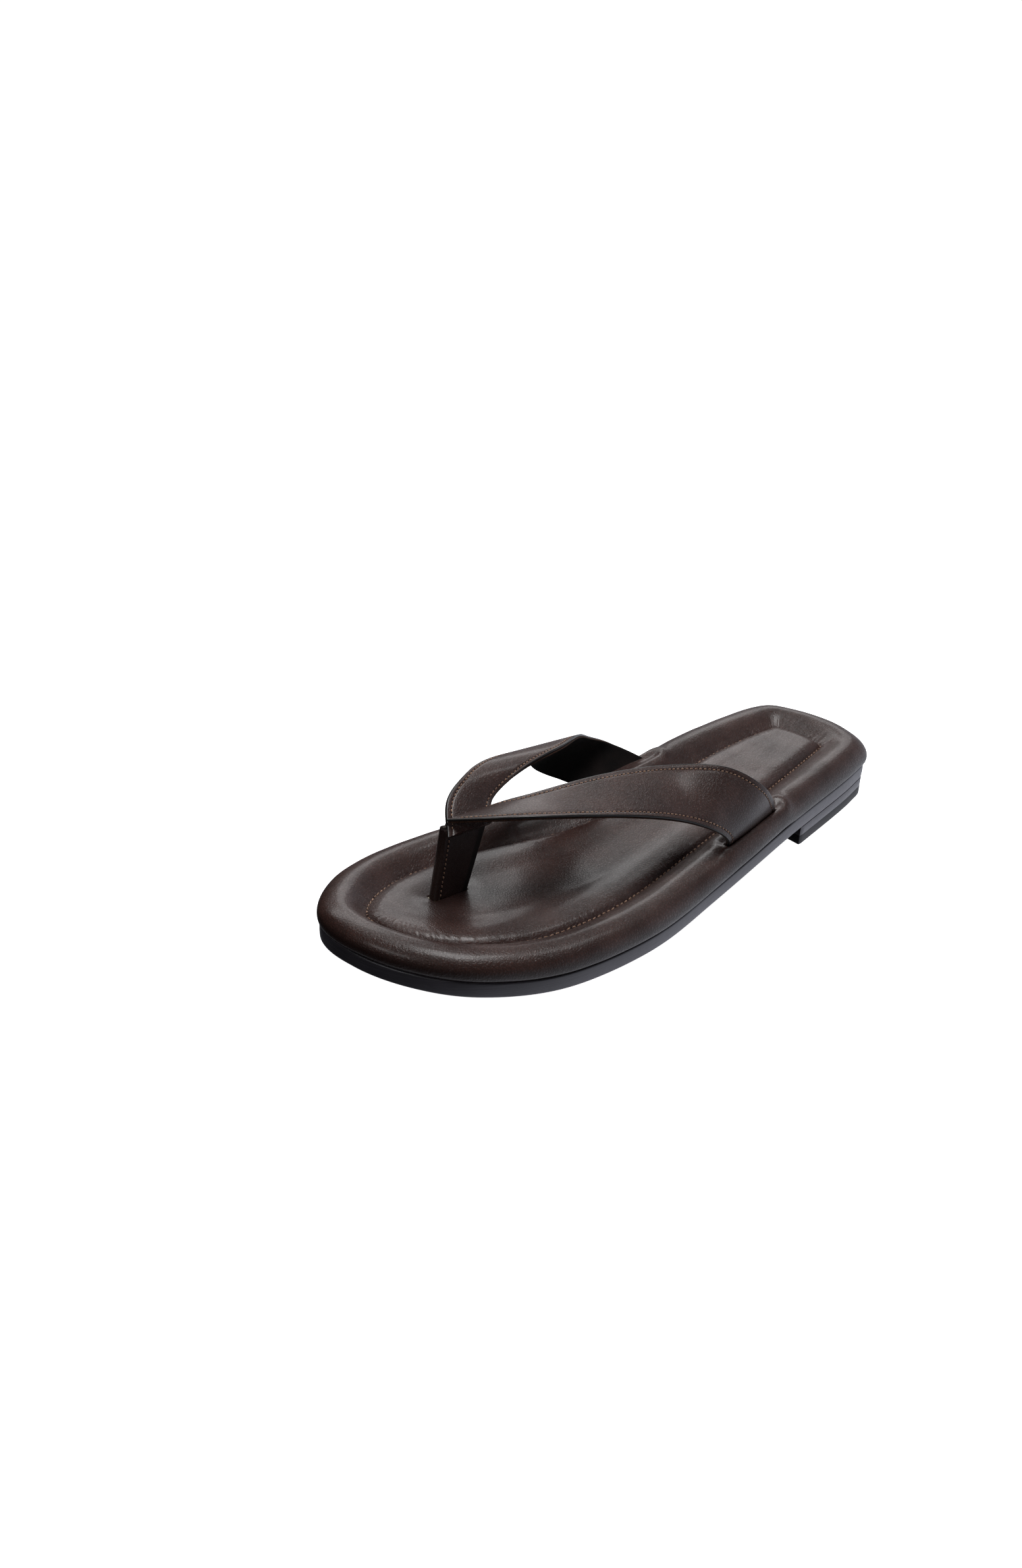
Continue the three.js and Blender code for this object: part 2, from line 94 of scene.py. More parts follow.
lateral = {
    "side": 1,
    "front": [(-13, -89.1, 46), (5, -75.6, 50.5), (18, -56.6, 51), (30, -27.1, 46.5),
              (36, -6.1, 39.9), (40.4, 7.5, 33), (40.2, 15.8, 26), (35.8, 20, 17.5)],
    "rear": [(-12.5, -67.1, 45.3), (-8.5, -62.6, 48), (-4, -56.1, 50.5), (5.5, -25.6, 54),
             (14.5, 4.4, 53), (27.5, 25.9, 51), (36.6, 40.4, 41), (31.6, 56.4, 20.5)],
}
medial = {
    "side": -1,
    "front": [(-10, -91.6, 40.8), (-21.5, -82.6, 49.8), (-28.5, -65.6, 54.3), (-34.5, -43.1, 51),
              (-40.5, -26.1, 43), (-45, -13.6, 31), (-42.5, 1.4, 21.8), (-33.6, 12, 17.5)],
    "rear": [(-9.5, -69.6, 40.3), (-17.5, -62.6, 44.8), (-19.5, -44.6, 51.8), (-22, -20.6, 53.7),
             (-31.5, -1.6, 49.2), (-39, 12.9, 41), (-41.5, 29.4, 32), (-33.4, 47.4, 19.5)],
}
strapCut = {
    "tail": [(0, 4.6), (1.2, 1.9), (4.5, 0.9), (12, 0.85), (22, 0.85)],  # inwards, up from the sole
    "rows": 170,
    "slitAt": 7 / 12,
    "upper": (1.1, 0.04),
    "lining": (-0.02, -0.78),
    "crown": 0.7,
    "stitchInset": 2.4,
    "stitchGroove": 0.28,
    "tailThinning": 0.5,
}

post = {
    "x": -13.4, "half": 2.2, "wall": 1.3, "bottom": 8.8, "top": 44,
    "foot": (-96.5, -80.4), "head": (-91.4, -69.4),
    "tip": 43.2,  # height of the fold's end where no strap covers it
    "seam": 2.9,  # behind the fold
    "rows": 44,
}

stitching = {
    "radius": 0.34,
    "rim": {"pitch": 2.7, "length": 2.0},
    "strap": {"pitch": 1.9, "length": 1.35},
    "post": {"pitch": 1.9, "length": 1.35},
}


def smooth(t):
    c = min(max(t, 0.0), 1.0)
    return c * c * (3 - 2 * c)


def mix(a, b, t):
    return a + (b - a) * t


def soleUnderside(y):
    waist = sole["heelHeight"] * (1 - smooth((sole["breastY"] - y) / (sole["breastY"] - sole["ballY"])))
    curl = min(max((sole["springY"] - y) / (sole["springY"] - sole["toeY"]), 0), 1)
    return waist + sole["toeSpring"] * curl * curl


def soleTop(y):
    return soleUnderside(y) + sole["thickness"]


def evenly(line, steps):  # that many equal steps along a line, without its last point
    lengths = [0.0]
    for a, b in zip(line, line[1:]):
        lengths.append(lengths[-1] + (b - a).length)
    out, k = [], 0
    for s in range(steps):
        want = lengths[-1] * s / steps
        while lengths[k + 1] < want:
            k += 1
        share = (want - lengths[k]) / max(lengths[k + 1] - lengths[k], 1e-9)
        out.append(line[k].lerp(line[k + 1], share))
    return out


def outlineRing(around):  # the edge of the sole and its inward normals
    knots = [Vector((x, y, 0)) for x, y in sole["outline"]]
    n, line = len(knots), []
    for k in range(n):
        a, b, c, d = (knots[(k + j) % n] for j in (-1, 0, 1, 2))
        line += interpolate_bezier(b, b + (c - a) / 6, c - (d - b) / 6, c, 61)[:-1]
    heel = max(range(len(line)), key=lambda k: line[k].y)
    line = line[heel:] + line[:heel]
    toe = min(range(len(line)), key=lambda k: line[k].y)
    ring = evenly(line[:toe + 1], around // 2) + evenly(line[toe:] + line[:1], around // 2)
    inward = []
    for k in range(around):
        t = (ring[(k + 1) % around] - ring[k - 1]).normalized()
        inward.append(Vector((-t.y, t.x, 0)))
    return ring, inward


def relax(ring, passes, reach=3):
    n = len(ring)
    for _ in range(passes):
        ring = [(ring[k - reach] + ring[k] * 2 + ring[(k + reach) % n]) / 4 for k in range(n)]
    return ring


def gridMesh(columns, rows, place, looped=False, floats=()):
    # a grid whose corners are moved to place(column, row); place may also give values for point layers
    bm = bmesh.new()
    bm.loops.layers.uv.new("UVMap")
    layers = [bm.verts.layers.float.new(name) for name in floats]
    bmesh.ops.create_grid(bm, x_segments=columns, y_segments=rows, size=0.5, calc_uvs=True)
    for v in bm.verts:
        i, j = round((v.co.x + 0.5) * columns), round((v.co.y + 0.5) * rows)
        point, values = place(i % columns if looped else i, j)
        v.co = point * mm
        for layer, value in zip(layers, values):
            v[layer] = value
    if looped:
        bmesh.ops.remove_doubles(bm, verts=bm.verts, dist=1e-6)
    return bm


def capEnds(bm):
    bmesh.ops.holes_fill(bm, edges=[e for e in bm.edges if e.is_boundary], sides=0)
    bmesh.ops.recalc_face_normals(bm, faces=bm.faces)
    return bm


def makePiece(name, bm, material, slot, replaced=(), sharpAngle=0.9):
    for face in bm.faces:
        face.smooth = True
    for edge in bm.edges:
        edge.smooth = not (len(edge.link_faces) == 2 and edge.calc_face_angle(0) > sharpAngle)
    mesh = bpy.data.meshes.new(name)
    bm.to_mesh(mesh)
    bm.free()
    piece = bpy.data.objects.new(name, mesh)
    bpy.context.scene.collection.objects.link(piece)
    mesh.materials.append(material)
    if slot:
        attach(piece, "root")
    if replaced:
        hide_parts(*replaced)
    return piece


def applyModifiers(piece):
    graph = bpy.context.evaluated_depsgraph_get()
    mesh = bpy.data.meshes.new_from_object(piece.evaluated_get(graph), preserve_all_data_layers=True,
                                           depsgraph=graph)
    piece.modifiers.clear()
    piece.data = mesh
    return piece


# shader maths

class Field:
    def __init__(self, tree, socket=None):
        self.tree, self.socket = tree, socket

    def node(self, kind, settings=None, out=0, **sockets):
        made = self.tree.nodes.new(kind)
        for name, value in (settings or {}).items():
            if name == "stops":
                setRamp(made.color_ramp, value)
            else:
                setattr(made, name, value)
        for name, value in sockets.items():
            key = int(name[1:]) if name[0] == "i" and name[1:].isdigit() else name.replace("_", " ")
            self.plug(made.inputs[key], value)
        return Field(self.tree, made.outputs[out])

    def plug(self, target, value):
        if isinstance(value, Field):
            self.tree.links.new(value.socket, target)
        elif isinstance(value, tuple) and len(value) == 3 and target.type == "RGBA":
            target.default_value = (*value, 1)
        else:
            target.default_value = value

    def maths(self, operation, a, b=0.0):
        return self.node("ShaderNodeMath", {"operation": operation}, i0=a, i1=b)

    def __add__(self, other): return self.maths("ADD", self, other)
    def __radd__(self, other): return self.maths("ADD", other, self)
    def __sub__(self, other): return self.maths("SUBTRACT", self, other)
    def __rsub__(self, other): return self.maths("SUBTRACT", other, self)
    def __mul__(self, other): return self.maths("MULTIPLY", self, other)
    def __rmul__(self, other): return self.maths("MULTIPLY", other, self)

    def band(self, low, high):
        settings = {"interpolation_type": "SMOOTHSTEP"}
        return self.node("ShaderNodeMapRange", settings, Value=self, From_Min=low, From_Max=high)


def setRamp(ramp, stops):
    while len(ramp.elements) < len(stops):
        ramp.elements.new(0.5)
    for element, (place, colour) in zip(ramp.elements, stops):
        element.position = place
        element.color = (*colour, 1)


def newMaterial(name, **fixed):
    material = bpy.data.materials.new(name)
    material.use_nodes = True
    tree = material.node_tree
    shader = tree.nodes["Principled BSDF"]
    for key, value in fixed.items():
        shader.inputs[key.replace("_", " ")].default_value = value
    start = Field(tree)
    return material, shader, start, start.node("ShaderNodeTexCoord", out=3)


def stretched(start, place, scale):
    return start.node("ShaderNodeMapping", Vector=place, Scale=scale)


def noiseAt(start, place, scale, detail=3.0, roughness=0.5):
    return start.node("ShaderNodeTexNoise", Vector=place, Scale=scale, Detail=detail, Roughness=roughness)


def cellsAt(start, place, scale, feature="DISTANCE_TO_EDGE"):
    return start.node("ShaderNodeTexVoronoi", {"feature": feature}, Vector=place, Scale=scale)


def mixColour(start, factor, a, b, blend="MIX"):
    settings = {"data_type": "RGBA", "blend_type": blend}
    return start.node("ShaderNodeMix", settings, out=2, i0=factor, i6=a, i7=b)


def bumps(start, shader, *layers):  # height, strength and distance, coarse to fine
    last = None
    for height, strength, distance in layers:
        sockets = {"Height": height, "Strength": strength, "Distance": distance}
        if last:
            sockets["Normal"] = last
        last = start.node("ShaderNodeBump", **sockets)
    last.plug(shader.inputs["Normal"], last)


def attribute(start, name):
    return start.node("ShaderNodeAttribute", {"attribute_name": name}, out=2)


grain = {
    "dark": (0.036, 0.016, 0.0128),
    "mid": (0.066, 0.031, 0.025),
    # the colour of the painted shade in the hollows between the pebbles
    "crease": (0.006, 0.0026, 0.002),
    "rough": 0.28,
}


def grainLeather(name, pebble, depth, rim=False, painted=False, paintedShadeScale=1.0):
    material, shader, start, place = newMaterial(name, Specular_IOR_Level=0.3, Coat_Roughness=0.22)
    wobble = noiseAt(start, place, pebble * 0.7, 2.0)
    cloud = noiseAt(start, place, 55, 3.0)
    fine = noiseAt(start, place, pebble * 3.2, 2.0, 0.6)
    swirl = start.node("ShaderNodeTexNoise", out=1, Vector=place, Scale=pebble * 0.8)
    shift = start.node("ShaderNodeVectorMath", {"operation": "SCALE"}, i0=swirl, Scale=0.0009)
    bent = start.node("ShaderNodeVectorMath", {"operation": "ADD"}, i0=place, i1=shift)
    cells = cellsAt(start, bent, pebble).band(0.0, 0.32)
    small = cellsAt(start, bent, pebble * 1.9).band(0.0, 0.35)
    skin = cells * 0.65 + small * 0.35
    crease = noiseAt(start, place, 190, 4.0, 0.55)
    height = [(crease, 0.25, 0.0006), (skin, depth, 0.00015), (fine, 0.2, 0.00003)]
    # below 1, paintedShadeScale darkens the leather's colours: painted shade, a darker copy of the same
    # leather
    dark, mid = (tuple(part * paintedShadeScale for part in grain[key]) for key in ("dark", "mid"))
    colour = mixColour(start, cloud.band(0.3, 0.7), dark, mid)
    # painted shade: the hollows between the pebbles are darkened towards the crease colour
    colour = mixColour(start, (1 - skin) * 0.55, colour, grain["crease"])
    roughness = grain["rough"] + (cloud - 0.5) * 0.12 + (1 - skin) * 0.18 + (wobble - 0.5) * 0.1
    if rim:
        across = start.node("ShaderNodeTexCoord", out=2)
        rimMask, seamMask, shade = (attribute(start, key) for key in ("rim", "seam", "shade"))
        ripple = noiseAt(start, stretched(start, across, (640.0, 11.0, 1.0)), 1.0, 3.0, 0.55)
        crinkle = noiseAt(start, stretched(start, across, (420.0, 30.0, 1.0)), 1.0, 4.0, 0.65)
        height.insert(0, (crinkle * seamMask, 0.9, 0.0006))
        height.insert(1, (ripple * rimMask, 0.6, 0.0002))
        # painted shade: the shade attribute darkens the cover round the toe post's foot and where the rim
        # turns under
        colour = mixColour(start, shade * 0.8, colour, (0.014, 0.0055, 0.0045))
        roughness = roughness - seamMask * 0.08 + shade * 0.06
    if painted:
        edge = attribute(start, "edge")
        paint = (edge + (wobble - 0.5) * 0.25).band(0.4, 0.6)
        colour = mixColour(start, paint, colour, (0.006, 0.005, 0.005))
        roughness = roughness * (1 - paint) + paint * 0.3
        height[1] = (skin * (1 - paint), depth, 0.00015)
    start.plug(shader.inputs["Base Color"], colour)
    start.plug(shader.inputs["Roughness"], roughness)
    start.plug(shader.inputs["Coat Weight"], cloud * 0.5)
    bumps(start, shader, *height)
    return material


def suedeLining():
    material, shader, start, place = newMaterial("suedeLining", Sheen_Weight=0.05, Sheen_Roughness=0.5,
                                                 Specular_IOR_Level=0.12)
    nap = noiseAt(start, place, 2600, 4.0, 0.7)
    patch = noiseAt(start, place, 140, 3.0)
    raw = attribute(start, "edge").band(0.35, 0.65)
    colour = mixColour(start, patch.band(0.3, 0.7), (0.003, 0.002, 0.0018), (0.008, 0.005, 0.0045))
    colour = mixColour(start, raw * nap.band(0.35, 0.6), colour, (0.06, 0.026, 0.014))
    start.plug(shader.inputs["Base Color"], colour)
    start.plug(shader.inputs["Roughness"], 0.75 + nap * 0.2)
    bumps(start, shader, (patch, 0.2, 0.0004), (nap, 0.6, 0.00018))
    return material


def burnishedSole(name, lines):
    material, shader, start, place = newMaterial(name, Specular_IOR_Level=0.55, Coat_Roughness=0.22,
                                                 Coat_Tint=(0.9, 0.9, 1.0, 1.0))
    strata = noiseAt(start, stretched(start, place, (34.0, 34.0, 2300.0)), 1.0, 4.0, 0.6)
    scuff = noiseAt(start, place, 420, 4.0, 0.6)
    cloud = noiseAt(start, place, 38, 3.0)
    normal = start.node("ShaderNodeNewGeometry", out=1)
    up = start.node("ShaderNodeSeparateXYZ", out=2, Vector=normal)
    under = (0 - up).band(0.6, 0.9)
    colour = mixColour(start, cloud.band(0.3, 0.7), (0.026, 0.023, 0.027), (0.05, 0.045, 0.052))
    colour = mixColour(start, strata.band(0.5, 0.75) * 0.5, colour, (0.085, 0.077, 0.088))
    pores = cellsAt(start, place, 900).band(0.0, 0.3)
    colour = mixColour(start, under * 0.85, colour, (0.09, 0.052, 0.03))
    colour = mixColour(start, under * (1 - pores) * 0.5, colour, (0.03, 0.017, 0.01))
    start.plug(shader.inputs["Base Color"], colour)
    start.plug(shader.inputs["Roughness"], 0.36 + scuff * 0.16 + under * 0.15)
    start.plug(shader.inputs["Coat Weight"], (1 - under) * 0.35)
    bumps(start, shader, (strata, lines, 0.0003), (scuff, 0.12, 0.0002))
    return material


def heelRubber():
    material, shader, start, place = newMaterial("heelRubber", Specular_IOR_Level=0.4)
    speck = noiseAt(start, place, 1500, 4.0, 0.65)
    cloud = noiseAt(start, place, 60, 3.0)
    strata = noiseAt(start, stretched(start, place, (30.0, 30.0, 1700.0)), 1.0, 3.0)
    colour = mixColour(start, cloud.band(0.3, 0.7), (0.012, 0.0115, 0.014), (0.026, 0.025, 0.03))
    start.plug(shader.inputs["Base Color"], colour)
    start.plug(shader.inputs["Roughness"], 0.42 + speck * 0.22)
    bumps(start, shader, (strata, 0.3, 0.0003), (speck, 0.3, 0.00015))
    return material


def waxedThread():
    material, shader, start, place = newMaterial("waxedThread", Sheen_Weight=0.2)
    twist = start.node("ShaderNodeTexWave", {"bands_direction": "DIAGONAL"}, out=1, Vector=place, Scale=700.0,
                       Distortion=1.5)
    fuzz = noiseAt(start, place, 900, 2.0)
    colour = mixColour(start, fuzz.band(0.35, 0.65), (0.18, 0.09, 0.055), (0.36, 0.21, 0.13))
    start.plug(shader.inputs["Base Color"], mixColour(start, twist * 0.4, colour, (0.05, 0.026, 0.016)))
    start.plug(shader.inputs["Roughness"], 0.5 + fuzz * 0.2)
    bumps(start, shader, (twist, 0.5, 0.0002))
    return material


# near-black disks at the needle holes: painted shade standing in for the holes' dark insides
def paintedHoleShade():
    material, shader, start, place = newMaterial("holeShadeMaterial", Specular_IOR_Level=0.1)
    torn = noiseAt(start, place, 2000, 2.0)
    colour = mixColour(start, torn, (0.001, 0.001, 0.001), (0.006, 0.003, 0.002))
    start.plug(shader.inputs["Base Color"], colour)
    start.plug(shader.inputs["Roughness"], 0.8 + torn * 0.2)
    return material


def hiddenLayer(name, low, high, scale, speckle, feature="F1"):
    # the cork, board, foam and webbing inside
    material, shader, start, place = newMaterial(name, Specular_IOR_Level=0.2)
    cells = cellsAt(start, place, scale, feature)
    fine = noiseAt(start, place, scale * 2, 4.0, 0.6)
    colour = mixColour(start, fine.band(0.3, 0.7), low, high)
    start.plug(shader.inputs["Base Color"], mixColour(start, cells.band(0.2, 0.8) * speckle, colour, low))
    start.plug(shader.inputs["Roughness"], 0.8 + fine * 0.18)
    bumps(start, shader, (cells, 0.5, 0.0004), (fine, 0.3, 0.0002))
    return material


coverLeather = grainLeather("coverLeather", 780, 0.6, rim=True)
strapLeather = grainLeather("strapLeather", 900, 0.8, painted=True)
# the toe post is the strap leather painted at half brightness: painted shade for the post standing under the
# straps
shadedPostLeather = grainLeather("shadedPostLeather", 1000, 0.5, painted=True, paintedShadeScale=0.5)
liningSuede = suedeLining()
soleEdge = burnishedSole("burnishedSole", 0.3)
heelLeather = burnishedSole("stackedHeel", 0.45)
topRubber = heelRubber()
thread = waxedThread()
holeShadeMaterial = paintedHoleShade()
print("materials made")

# the sole and the heel's two layers

soleRing, soleInward = outlineRing(sole["around"])


def soleSection():  # from the edge or towards the spine, how far, and height; from underneath to the top
    r, thick = sole["edgeRound"], sole["thickness"]
    corner = (0, 0.39, 0.79, 1.18, 1.57)
    rows = [("spine", s, 0.0) for s in (1, 0.8, 0.6, 0.4, 0.2)]
    rows += [("edge", sole["rimWidth"], 0), ("edge", 6, 0), ("edge", 2.5, 0)]
    rows += [("edge", r - r * math.sin(a), r - r * math.cos(a)) for a in corner]
    rows += [("edge", -0.12 * math.sin(math.pi * k / 6), mix(r, thick - r, k / 6)) for k in range(1, 6)]
    rows += [("edge", r - r * math.cos(a), thick - r + r * math.sin(a)) for a in corner]
    rows += [("edge", 2.5, thick), ("edge", 6, thick), ("edge", sole["rimWidth"], thick)]
    return rows + [("spine", s, thick) for s in (0.2, 0.4, 0.6, 0.8, 1)]


def spineOf(ring, fromEnd):
    n = len(ring)
    low, high = min(p.y for p in ring) + fromEnd, max(p.y for p in ring) - fromEnd
    middle = [(ring[k] + ring[-k % n]) / 2 for k in range(n)]
    inside = [p for p in middle[:n // 2 + 1] if low <= p.y <= high]
    return [inside[0] if p.y > high else inside[-1] if p.y < low else p for p in middle]


soleInner = relax([p + d * sole["rimWidth"] for p, d in zip(soleRing, soleInward)], 20)
soleSpine = spineOf(soleInner, 20)
soleRows = soleSection()


def solePoint(i, j):
    kind, a, height = soleRows[j]
    if kind == "edge":
        p = soleRing[i] + soleInward[i] * a if a < sole["rimWidth"] else soleInner[i].copy()
    else:
        p = soleInner[i].lerp(soleSpine[i], a)
    return Vector((p.x, p.y, soleUnderside(p.y) + height)), ()


outsoleMesh = gridMesh(sole["around"], len(soleRows) - 1, solePoint, looped=True)
bmesh.ops.recalc_face_normals(outsoleMesh, faces=outsoleMesh.faces)
makePiece("outsoleLeather", outsoleMesh, soleEdge, "sole_leather", ["outsole"])


def heelPiece(name, low, high, material, slot, node):
    bm = bmesh.new()
    back = [k for k in range(len(soleRing)) if soleRing[k].y > sole["breastY"] + 0.4]
    split = next(n for n in range(1, len(back)) if back[n] - back[n - 1] > 1)
    order = back[split:] + back[:split]  # from the breast's outer corner round the heel to the inner one
    inset = [soleRing[k] + soleInward[k] * 0.03 for k in order]
    corners = [Vector((inset[0].x, sole["breastY"], 0)), *inset, Vector((inset[-1].x, sole["breastY"], 0))]
    verts = [bm.verts.new((p.x * mm, p.y * mm, low * mm)) for p in corners]
    face = bm.faces.new(verts)
    made = bmesh.ops.extrude_face_region(bm, geom=[face])["geom"]
    lifted = [v for v in made if isinstance(v, bmesh.types.BMVert)]
    bmesh.ops.translate(bm, verts=lifted, vec=(0, 0, (high - low) * mm))
    bmesh.ops.recalc_face_normals(bm, faces=bm.faces)
    rims = [e for e in bm.edges
            if abs(e.verts[0].co.z - e.verts[1].co.z) < 1e-7 or e.calc_face_angle(0) > 0.9]
    bmesh.ops.bevel(bm, geom=rims, offset=0.14 * mm, offset_type="OFFSET", segments=2, profile=0.5,
                    affect="EDGES", material=-1)
    makePiece(name, bm, material, slot, [node])


half = sole["heelHeight"] / 2
heelPiece("heelTopLift", 0, half - 0.01, topRubber, "heel_rubber", "top_lift")
heelPiece("heelLift", half + 0.01, sole["heelHeight"] - 0.02, heelLeather, "sole_leather", "heel_lift")
print("sole and heel made")

# the straps, each an upper and a lining


def edgeAt(knots, t):  # smooth curve through knots that stand at uneven distances
    n = len(knots)
    place = min(max(t, 0), 1) * (n - 1)
    k = min(int(place), n - 2)
    w = place - k
    p1, p2 = knots[k], knots[k + 1]
    p0 = knots[k - 1] if k > 0 else p1 * 2 - p2
    p3 = knots[k + 2] if k + 2 < n else p2 * 2 - p1
    d0, d1, d2 = (math.sqrt((b - a).length) for a, b in ((p0, p1), (p1, p2), (p2, p3)))
    m1 = ((p1 - p0) / d0 - (p2 - p0) / (d0 + d1) + (p2 - p1) / d1) * d1
    m2 = ((p2 - p1) / d1 - (p3 - p1) / (d1 + d2) + (p3 - p2) / d2) * d1
    return (p1 * (2 * w ** 3 - 3 * w ** 2 + 1) + m1 * (w ** 3 - 2 * w ** 2 + w)
            + p2 * (3 * w ** 2 - 2 * w ** 3) + m2 * (w ** 3 - w ** 2))


def withTail(strap, edge):
    points = [Vector(p) for p in strap[edge]]
    slit = points[-1]
    tail = [Vector((slit.x - strap["side"] * inward, slit.y, soleTop(slit.y) + up))
            for inward, up in strapCut["tail"]]
    return points + tail


for strap in (lateral, medial):
    strap["frontLine"], strap["rearLine"] = withTail(strap, "front"), withTail(strap, "rear")


def strapFrame(strap, t):
    front, rear = edgeAt(strap["frontLine"], t), edgeAt(strap["rearLine"], t)
    a, b = max(t - 0.004, 0), min(t + 0.004, 1)
    along = ((edgeAt(strap["frontLine"], b) - edgeAt(strap["frontLine"], a)).normalized()
             + (edgeAt(strap["rearLine"], b) - edgeAt(strap["rearLine"], a)).normalized())
    across = front - rear
    normal = across.cross(along).normalized() * strap["side"]
    return front, rear, across.normalized(), normal


nearEdge = [0.0, 0.08, 0.25, 0.5, 0.9, 1.4, 1.9, 2.15, 2.4, 2.65, 2.9, 3.4, 4.4]
middleShares = [0.28, 0.36, 0.43, 0.5, 0.57, 0.64, 0.72]


def layerSection(upper, grow=0.0):
    # share of the width from the front edge, extra millimetres, which face
    top = [(0.0, d, "top") for d in nearEdge] + [(s, 0.0, "top") for s in middleShares]
    top += [(1.0, -d, "top") for d in reversed(nearEdge)]
    under = [(1.0, -0.05, "side"), (1.0, -0.3, "under"), (1.0, -2.0, "under"), (0.75, 0.0, "under"),
             (0.5, 0.0, "under"), (0.25, 0.0, "under"), (0.0, 2.0, "under"), (0.0, 0.3, "under"),
             (0.0, 0.05, "side")]
    return top + under


def strapHeight(d, across, t, span, upper):
    outer, inner = span
    crown = strapCut["crown"] * (1 - (2 * across - 1) ** 2) * smooth(t / 0.1)
    rounding = 0.36 if upper else 0.2
    edge = rounding * (1 - math.sqrt(max(1 - (1 - min(d / rounding, 1)) ** 2, 0)))
    groove = strapCut["stitchGroove"] * math.exp(-((d - strapCut["stitchInset"]) / 0.55) ** 2) if upper else 0
    return outer - edge - groove, inner, crown


def strapLayer(name, strap, upper, material, slot, node, grow=0.0, start=0.0):
    section = layerSection(upper)
    span = strapCut["upper" if upper else "lining"]
    if grow:
        span = (strapCut["upper"][0] + grow, strapCut["lining"][1] - grow)
    rows, frames = strapCut["rows"], []
    for j in range(rows + 1):
        frames.append(strapFrame(strap, mix(start, 1, j / rows)))

    def place(i, j):
        share, extra, kind = section[i]
        t = mix(start, 1, j / rows)
        front, rear, across, normal = frames[j]
        width = (front - rear).length + 2 * grow
        inset = 0.0 if upper or grow else 0.12
        s = share * width + extra + (inset if share == 0 else -inset if share == 1 else 0)
        d = min(s, width - s)
        thin = mix(1, strapCut["tailThinning"], smooth((t - strapCut["slitAt"] + 0.06) / 0.12))
        high, low, crown = strapHeight(max(d, 0), s / width, t, span, upper)
        crown *= 1 - smooth((t - strapCut["slitAt"] + 0.05) / 0.1)
        level = high if kind == "top" else low if kind == "under" else mix(low, high, 0.25)
        p = front - across * (s - grow) + normal * (level * thin + crown)
        if t > strapCut["slitAt"]:
            buried = smooth((t - strapCut["slitAt"]) / 0.08)
            p.z += buried * (soleTop(p.y) - mix(soleTop(front.y), soleTop(rear.y), s / width))
        painted = 1 - smooth((d - 0.35) / 0.3) if kind == "top" else 1.0 if kind == "side" else 0.0
        return p, (painted,)

    bm = capEnds(gridMesh(len(section), rows, place, looped=True, floats=["edge"]))
    return makePiece(name, bm, material, slot, [node] if node else (), 1.2)


def strapSurface(strap, t, d, fromRear):
    # a point on the upper's face at a distance from an edge, and its normal
    front, rear, across, normal = strapFrame(strap, t)
    width = (front - rear).length
    s = width - d if fromRear else d
    high, low, crown = strapHeight(d, s / width, t, strapCut["upper"], True)
    return front - across * s + normal * (high + crown), normal


straps = {}
for name, strap in (("medial", medial), ("lateral", lateral)):
    straps[name] = strapLayer(name + "StrapUpper", strap, True, strapLeather, "grain_leather",
                              name + "_strap_upper")
    straps[name + "Lining"] = strapLayer(name + "StrapLining", strap, False, liningSuede, "strap_lining",
                                         name + "_strap_lining")
print("straps made")

# the toe post, a strip folded lengthwise


def postSection():  # how the way back is measured, how far back, and the place sideways
    half, wall = post["half"], post["wall"]
    flat = [1.0, 0.97, 0.75, 0.5, 0.33]

    def thick(d):  # the fold stands a little fatter than the sewn sides
        pulled = 0.22 * math.exp(-((d - post["seam"]) / 0.5) ** 2)
        return half + 0.18 * math.exp(-((d - 1.3) / 1.0) ** 2) - pulled

    near = [4.2, 3.7, 3.3, 3.1, 2.9, 2.7, 2.4, 2.0, 1.6]
    side = [("share", s, half) for s in flat] + [("mm", d, thick(d)) for d in near]
    fold = [("mm", 1.5 - 1.5 * math.cos(a), thick(1.2) * math.sin(a))
            for a in (1.25, 0.95, 0.65, 0.4, 0.2, 0.0)]
    outer = side + fold
    mirror = [(kind, d, -x) for kind, d, x in reversed(outer[:-1])]
    slot = half - wall
    inner = [("share", 1.0, -slot), ("share", 0.6, -slot), ("mm", wall, -slot), ("mm", wall, slot),
             ("share", 0.6, slot), ("share", 1.0, slot)]
    return outer + mirror + inner


liningTrees = [BVHTree.FromObject(straps[key], bpy.context.evaluated_depsgraph_get())
               for key in ("medial", "medialLining", "lateral", "lateralLining")]


def postTopAt(x, y):
    hits = [tree.ray_cast(Vector((x, y, 30)) * mm, Vector((0, 0, 1)))[0] for tree in liningTrees]
    heights = [hit.z / mm for hit in hits if hit]
    return min(heights) + 0.3 if heights else None


def postEdges(z):
    share = (z - 9) / (post["top"] - 9)
    return mix(post["foot"][0], post["head"][0], share), mix(post["foot"][1], post["head"][1], share)


postOutline = postSection()
postTops = {}


def postPlace(kind, d, x, z):
    front, rear = postEdges(z)
    y = mix(front, rear, d) if kind == "share" else front + d
    return Vector((post["x"] + x, y, z))


for i, (kind, d, x) in enumerate(postOutline):
    z = 41.0
    for _ in range(4):
        p = postPlace(kind, d, x, z)
        z = postTopAt(p.x, p.y) or post["tip"]
    postTops[i] = min(z, 46.5)


def postPoint(i, j):
    kind, d, x = postOutline[i]
    share = j / post["rows"]
    z = mix(post["bottom"], postTops[i], share)
    p = postPlace(kind, d, x, z)
    raw = 1.0 if kind == "share" and d > 0.96 else 0.0
    return p, (raw,)


postMesh = capEnds(gridMesh(len(postOutline), post["rows"], postPoint, looped=True, floats=["edge"]))
makePiece("toePost", postMesh, shadedPostLeather, "grain_leather", ["toe_post_leather"], 1.2)
print("toe post made")

# the padded footbed: cover, slits and foam

bed = footbed
around = bed["around"]
bedRing, bedInward = outlineRing(around)


